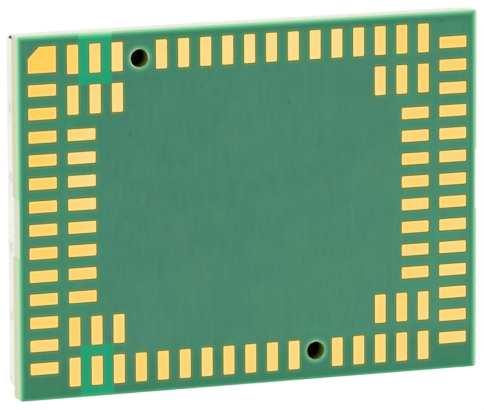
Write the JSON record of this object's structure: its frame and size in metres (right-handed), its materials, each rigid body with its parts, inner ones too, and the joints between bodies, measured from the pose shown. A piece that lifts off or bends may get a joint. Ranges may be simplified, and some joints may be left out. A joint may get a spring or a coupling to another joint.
{
  "type": "satellite modem module",
  "caption": "Flat rectangular satellite modem module: a green board edged with rows of gold solder lands and locating holes, over a low folded metal shield for its electronics.",
  "frame": {"origin": "under the middle of the board's outline, on the outer face of the shield lid", "axes": "+X along the long side, +Y along the short side towards the first terminal, +Z out of the land side, with the module lying on its lid"},
  "size_m": [0.042, 0.0316, 0.0038],
  "materials": {
    "laminate": "routed glass-epoxy edge",
    "solder_mask": "satin green film",
    "gold_plating": "immersion gold on copper",
    "lid_sheet": "satin nickel silver",
    "frame_sheet": "satin nickel silver",
    "chip_moulding": "matt black moulding",
    "ceramic_package": "ceramic with a welded metal lid",
    "capacitor_ceramic": "tan ceramic with tinned ends",
    "resistor_glaze": "black glaze with tinned ends",
    "inductor_ferrite": "grey moulded ferrite",
    "capacitor_moulding": "ochre moulding"
  },
  "bodies": {
    "root": {"board": "laminate", "land_side_mask": "solder_mask", "component_side_mask": "solder_mask", "shield_track": "gold_plating", "first_land": "gold_plating", "left_lands": "gold_plating", "right_lands": "gold_plating", "top_lands": "gold_plating", "bottom_lands": "gold_plating", "left_inner_lands": "gold_plating", "right_inner_lands": "gold_plating", "top_corner_lands": "gold_plating", "bottom_corner_lands": "gold_plating", "shield_lid": "lid_sheet", "shield_frame": "frame_sheet", "processor": "chip_moulding", "memory": "chip_moulding", "clock_crystal": "ceramic_package", "decoupling_capacitors": "capacitor_ceramic", "chip_resistors": "resistor_glaze", "transceiver": "chip_moulding", "power_amplifier": "chip_moulding", "low_noise_amplifier": "chip_moulding", "antenna_switch": "chip_moulding", "transmit_filter": "ceramic_package", "receive_filters": "ceramic_package", "reference_oscillator": "ceramic_package", "radio_passives": "capacitor_ceramic", "power_manager": "chip_moulding", "converter_inductors": "inductor_ferrite", "storage_capacitors": "capacitor_moulding", "bulk_capacitors": "capacitor_ceramic"}
  },
  "joints": []
}
